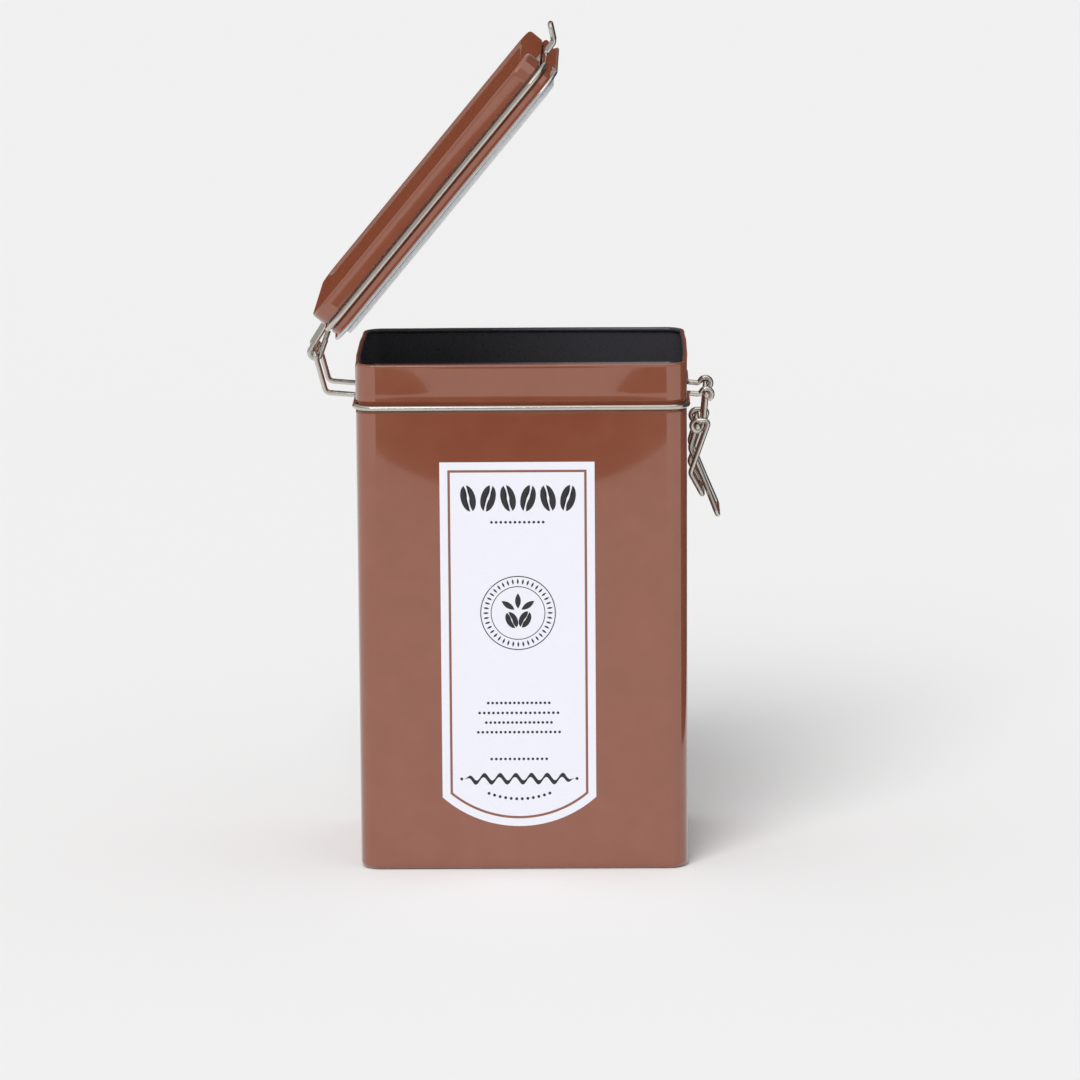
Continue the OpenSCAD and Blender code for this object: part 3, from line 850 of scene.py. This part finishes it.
def bean(bm, x, z, half_w, half_h, tilt, crease=0.5):
    """A bean in two halves, each with its inner edge waved along the crease."""
    for side in (-1, 1):
        part = bmesh.new()
        bmesh.ops.create_circle(part, cap_ends=True, segments=40, radius=1)
        cut = part.verts[:] + part.edges[:] + part.faces[:]
        bmesh.ops.bisect_plane(part, geom=cut, plane_co=(0, 0, 0), plane_no=(-side, 0, 0), clear_outer=True)
        seam = [e for e in part.edges if all(abs(v.co.x) < 1e-4 for v in e.verts)]
        bmesh.ops.subdivide_edges(part, edges=seam, cuts=14)
        for vert in part.verts:
            x_here, z_here = vert.co.x * half_w, vert.co.y * half_h
            on_seam = 1 - min(1, abs(vert.co.x) * 4)
            x_here += on_seam * (side * crease / 2 + 0.16 * half_w * math.sin(math.pi * vert.co.y))
            vert.co = (x_here, 0, z_here)
        bmesh.ops.rotate(part, cent=(0, 0, 0), matrix=Matrix.Rotation(tilt, 3, "Y"), verts=part.verts[:])
        bmesh.ops.translate(part, vec=(LABEL_X + x, FRONT, z), verts=part.verts[:])
        flat = bpy.data.meshes.new("part")
        part.to_mesh(flat)
        part.free()
        bm.from_mesh(flat)
        bpy.data.meshes.remove(flat)


def print_ink(bm, name, ink):
    """Gives flat print its thickness and makes it a piece that rides on the tin."""
    bmesh.ops.recalc_face_normals(bm, faces=bm.faces[:])
    thicken(bm, ink_front, INK_T - INK_LIFT)
    return finish_piece(bm, name, "tin", [ink])


# %% [markdown]
# A heading wants weight, so it is a row of big beans, tilted left and right by turns so that the row reads
# as a rhythm and not as a fence.

# %% Heading of beans
HEADING_Z = 127
HEADING_HALF = 16.6
BEANS = 6
BEAN_W, BEAN_H, BEAN_CREASE = 2.45, 4.5, 0.85
BEAN_TILT = math.radians(14)
bm = bmesh.new()
for i in range(BEANS):
    spot = -HEADING_HALF + 2 * HEADING_HALF * i / (BEANS - 1)
    bean(bm, spot + 0.3, HEADING_Z, BEAN_W, BEAN_H, BEAN_TILT if i % 2 else -BEAN_TILT, crease=BEAN_CREASE)
print_ink(bm, "Label_Heading", dark_ink)

# %% [markdown]
# Small print is only a grey texture at arm's length, so rows of fine dots stand for it, each as wide and as
# heavy as a line of type would be. The last row follows the curved foot.

# %% Rows of dots
DOT_R = 0.46
DOT_STEP = 1.5
ROWS = ((118.9, 8.6), (57.4, 10.2), (54.0, 13.1), (50.7, 10.9), (47.4, 13.6), (38.2, 9.2))
FOOT_ROW_Z = 26.4
FOOT_ROW_HALF = 10.2
FOOT_ROW_SAG = 1.9
FOOT_DOTS = 12
bm = bmesh.new()
for z, half in ROWS:
    count = round(2 * half / DOT_STEP)
    for i in range(count + 1):
        disc(bm, -half + 2 * half * i / count, z, DOT_R, 12)
for i in range(FOOT_DOTS):
    x = -FOOT_ROW_HALF + 2 * FOOT_ROW_HALF * i / (FOOT_DOTS - 1)
    disc(bm, x, FOOT_ROW_Z - FOOT_ROW_SAG * (1 - (x / FOOT_ROW_HALF) ** 2), DOT_R + 0.05, 12)
print_ink(bm, "Label_Dots", dark_ink)

# %% [markdown]
# The stamp has two thin rings with short strokes between them, like the milled edge of a coin, and a sprig
# of two beans and three leaves inside. A leaf is a disc squeezed to a point at both ends.

# %% Round stamp
STAMP_Z = 88.1
STAMP_R = 12.6
STAMP_INNER_R = 9.1
STROKES = 40
STROKE_LENGTH, STROKE_W = 1.9, 0.62
LEAF_LENGTH, LEAF_W = 5.2, 1.9
SPRIG_BEANS = ((-2.1, -2.4, -28), (2.3, -2.2, 26))
SPRIG_LEAVES = ((-3.3, 2.6, 145), (0, 4.1, 90), (3.3, 2.6, 35))


def leaf(bm, x, z, length, width, tilt):
    """A pointed leaf, its length along tilt."""
    verts = bmesh.ops.create_circle(bm, cap_ends=True, segments=24, radius=1)["verts"]
    for vert in verts:
        vert.co = (vert.co.x * length / 2, 0, vert.co.y * width / 2 * (1 - vert.co.x ** 2) ** 0.5)
    bmesh.ops.rotate(bm, cent=(0, 0, 0), matrix=Matrix.Rotation(-tilt, 3, "Y"), verts=verts)
    bmesh.ops.translate(bm, vec=(LABEL_X + x, FRONT, z), verts=verts)


bm = bmesh.new()
ring(bm, 0, STAMP_Z, STAMP_R, 0.32)
ring(bm, 0, STAMP_Z, STAMP_INNER_R, 0.26)
for i in range(STROKES):
    angle = 2 * math.pi * i / STROKES
    middle = (STAMP_R + STAMP_INNER_R) / 2 - 0.15
    leaf(bm, middle * math.cos(angle), STAMP_Z + middle * math.sin(angle), STROKE_LENGTH, STROKE_W, angle)
for x, z, tilt in SPRIG_BEANS:
    bean(bm, x, STAMP_Z + z, 1.9, 2.9, math.radians(tilt), crease=0.45)
for x, z, tilt in SPRIG_LEAVES:
    leaf(bm, x, STAMP_Z + z, LEAF_LENGTH, LEAF_W, math.radians(tilt))
print_ink(bm, "Label_Stamp", dark_ink)

# %% [markdown]
# The flourish is a ribbon of ink that swells and thins along a wave, as a broad pen makes it: a column of
# points swept sideways, each pair set apart by the pen's width there.

# %% Flourish
FLOURISH_Z = 31.4
FLOURISH_HALF = 18.4
WAVES = 7
WAVE_H = 1.25
PEN_THIN, PEN_SWELL = 0.95, 0.95
END_TAPER = 12
FLOURISH_STEPS = 160
bm = bmesh.new()
pen = [bm.verts.new((LABEL_X - FLOURISH_HALF, FRONT, FLOURISH_Z + s)) for s in (-1, 1)]
start = pen + [bm.edges.new(pen)]
push(bm, start, (2 * FLOURISH_HALF, 0, 0), FLOURISH_STEPS)
for vert in bm.verts:
    along = (vert.co.x - LABEL_X + FLOURISH_HALF) / (2 * FLOURISH_HALF)
    phase = 2 * math.pi * WAVES * along
    taper = min(1, END_TAPER * along, END_TAPER * (1 - along))
    pen_width = taper * (PEN_THIN + PEN_SWELL * math.sin(phase / 2) ** 2)
    side = 1 if vert.co.z > FLOURISH_Z else -1
    vert.co.z = FLOURISH_Z + taper * WAVE_H * math.sin(phase) + side * pen_width / 2 + side * 0.02
for x in (-1, 1):
    disc(bm, x * (FLOURISH_HALF + 0.9), FLOURISH_Z, 0.5)
print_ink(bm, "Label_Flourish", dark_ink)

# %% [markdown]
# The table is one wide, matt, nearly white sheet. It fills the view to the horizon, so it also stands for
# the backdrop, as a paper sweep does in a studio.

# %% Table
bm = bmesh.new()
bmesh.ops.create_grid(bm, x_segments=1, y_segments=1, size=30)
sweep = bpy.data.meshes.new("Table")
bm.to_mesh(sweep)
bm.free()
table = bpy.data.objects.new("Table", sweep)
bpy.context.scene.collection.objects.link(table)
sweep.materials.append(new_finish("Matt paper sweep", Base_Color=linear("#FBFBFB"), Roughness=0.9,
                                  Specular_IOR_Level=0.1)[0])

# %% [markdown]
# The light is soft and comes from everywhere, with a large key from the front left that throws the faint
# shadow to the right and behind. A sun with a wide disc does the key's work, because it lights a wide
# table evenly.

# %% Light
def aim(thing, direction):
    """Turns a light so that it shines along a direction."""
    thing.rotation_mode = "QUATERNION"
    thing.rotation_quaternion = Vector(direction).to_track_quat("-Z", "Y")


sun = bpy.data.lights.new("Key", "SUN")
sun.energy = 1.8
sun.angle = math.radians(32)
key = bpy.data.objects.new("Key", sun)
aim(key, (0.22, 0.67, -0.71))
bpy.context.scene.collection.objects.link(key)

world = bpy.data.worlds.new("Studio")
world.use_nodes = True
world.node_tree.nodes["Background"].inputs["Color"].default_value = (1, 1, 1, 1)
world.node_tree.nodes["Background"].inputs["Strength"].default_value = 0.51
bpy.context.scene.world = world
bpy.context.scene.view_settings.view_transform = "Standard"


# %% [markdown]
# Glossy lacquer shows what stands round it, so dark cards are set up as flags. Only reflections see them:
# they are hidden from the camera and from soft light, and throw no shadow. One black card lies in front of
# the tin and gives the front its dark, rounded top, and one further off does the same for the lid. One
# stands behind and is coloured the lacquer's brown, so that the lid's end and top show a painted brown
# reflection. One grey card stands to the right and darkens the reflections on the clasp side. The last hangs
# overhead and glows, as a softbox does, and draws the bright line along each wire.

# %% Flags
def glossy_card(bm, name, tone, glow=0.0):
    """Turns a bmesh in millimetres into a card that only reflections see."""
    bmesh.ops.scale(bm, vec=(MM, MM, MM), verts=bm.verts[:])
    sheet = bpy.data.meshes.new(name)
    bm.to_mesh(sheet)
    bm.free()
    card = bpy.data.objects.new(name, sheet)
    bpy.context.scene.collection.objects.link(card)
    sheet.materials.append(new_finish(name + " card", Base_Color=tone, Roughness=1.0,
                                      Specular_IOR_Level=0.0, Emission_Color=(1, 1, 1, 1),
                                      Emission_Strength=glow)[0])
    card.visible_camera = False
    card.visible_diffuse = False
    card.visible_shadow = False


def flat_card(name, tone, half_w, half_h, centre, turn, axis, glow=0.0):
    """A rectangular card, turned up about an axis."""
    bm = bmesh.new()
    bmesh.ops.create_grid(bm, x_segments=1, y_segments=1, size=1)
    bmesh.ops.scale(bm, vec=(half_w, half_h, 1), verts=bm.verts[:])
    bmesh.ops.rotate(bm, cent=(0, 0, 0), matrix=Matrix.Rotation(turn, 3, axis), verts=bm.verts[:])
    bmesh.ops.translate(bm, vec=centre, verts=bm.verts[:])
    glossy_card(bm, name, tone, glow)


BLACK_FELT = (0.004, 0.004, 0.004, 1)
GREY_FELT = (0.1, 0.1, 0.1, 1)
FLAG_X = -14
FLAG_HALF = 76
FLAG_MIDDLE = 900
FLAG_BOW = 215
FLAG_LENGTH = 2400
bm = bmesh.new()
bmesh.ops.create_circle(bm, cap_ends=True, segments=64, radius=1)
for vert in bm.verts:
    reach = FLAG_BOW if vert.co.y > 0 else FLAG_LENGTH
    vert.co = (vert.co.x * FLAG_HALF + FLAG_X, FRONT - FLAG_MIDDLE + vert.co.y * reach, 1)
glossy_card(bm, "Front", BLACK_FELT)
# This card's brown is a painted reflection, which the lid's end and top show.
flat_card("Back", linear("#7A432F"), 570, 260, (-270, 900, 262), math.pi / 2, "X")
flat_card("Right", GREY_FELT, 320, 375, (230, 320, 322), math.pi / 2, "Y")
flat_card("Lid", BLACK_FELT, 130, 700, (-120, FRONT - 2000, 2), 0, "X")
flat_card("Softbox", BLACK_FELT, 1200, 1000, (0, -700, 1400), 0, "X", glow=1.0)
